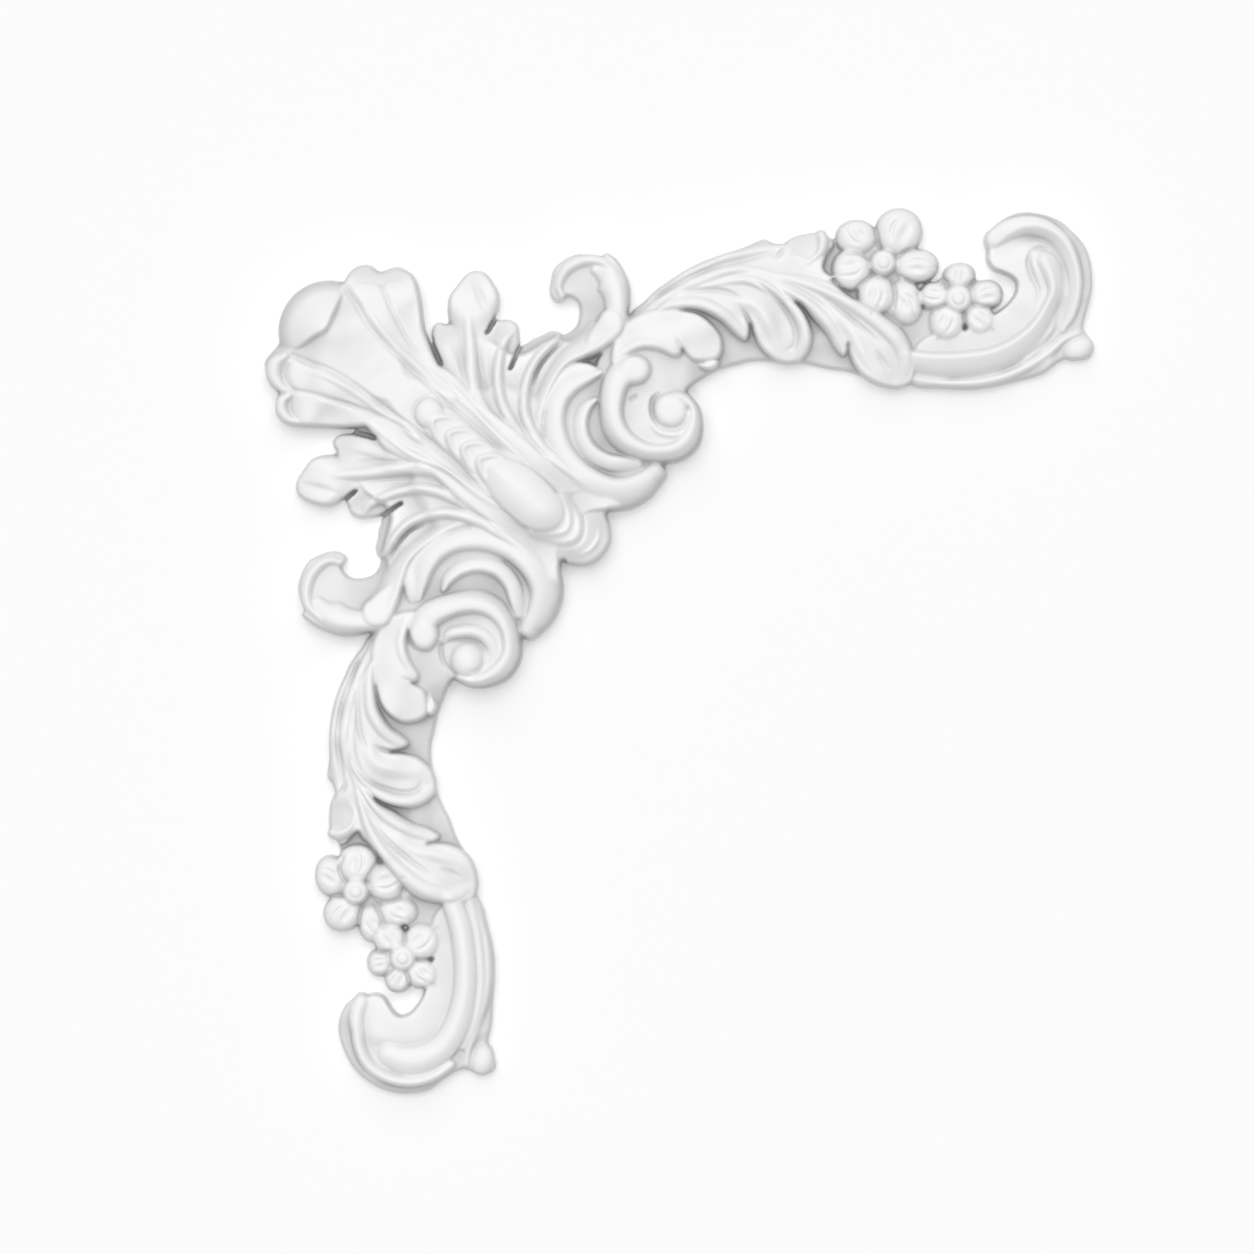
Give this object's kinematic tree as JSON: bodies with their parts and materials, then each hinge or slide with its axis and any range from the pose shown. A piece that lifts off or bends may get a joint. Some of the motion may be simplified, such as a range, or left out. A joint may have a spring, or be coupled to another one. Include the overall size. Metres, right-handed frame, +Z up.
{
  "type": "corner applique",
  "caption": "White cast wall ornament for a corner: a fluted shell, leaf scrolls and volutes on the diagonal, and two leafy arms with flowers and C-scroll ends.",
  "frame": {"origin": "on the flat back, on the diagonal that mirrors one arm into the other, behind the upper end of the cabochon", "axes": "+Y into the wall; +Z up; the top arm runs along +X and the other arm along -Z, so the shell points to -X +Z"},
  "size_m": [0.2664, 0.0207, 0.2685],
  "materials": {
    "white_casting": "white satin primer on cast polyurethane"
  },
  "bodies": {
    "root": {"corner_applique": "white_casting"}
  },
  "joints": []
}
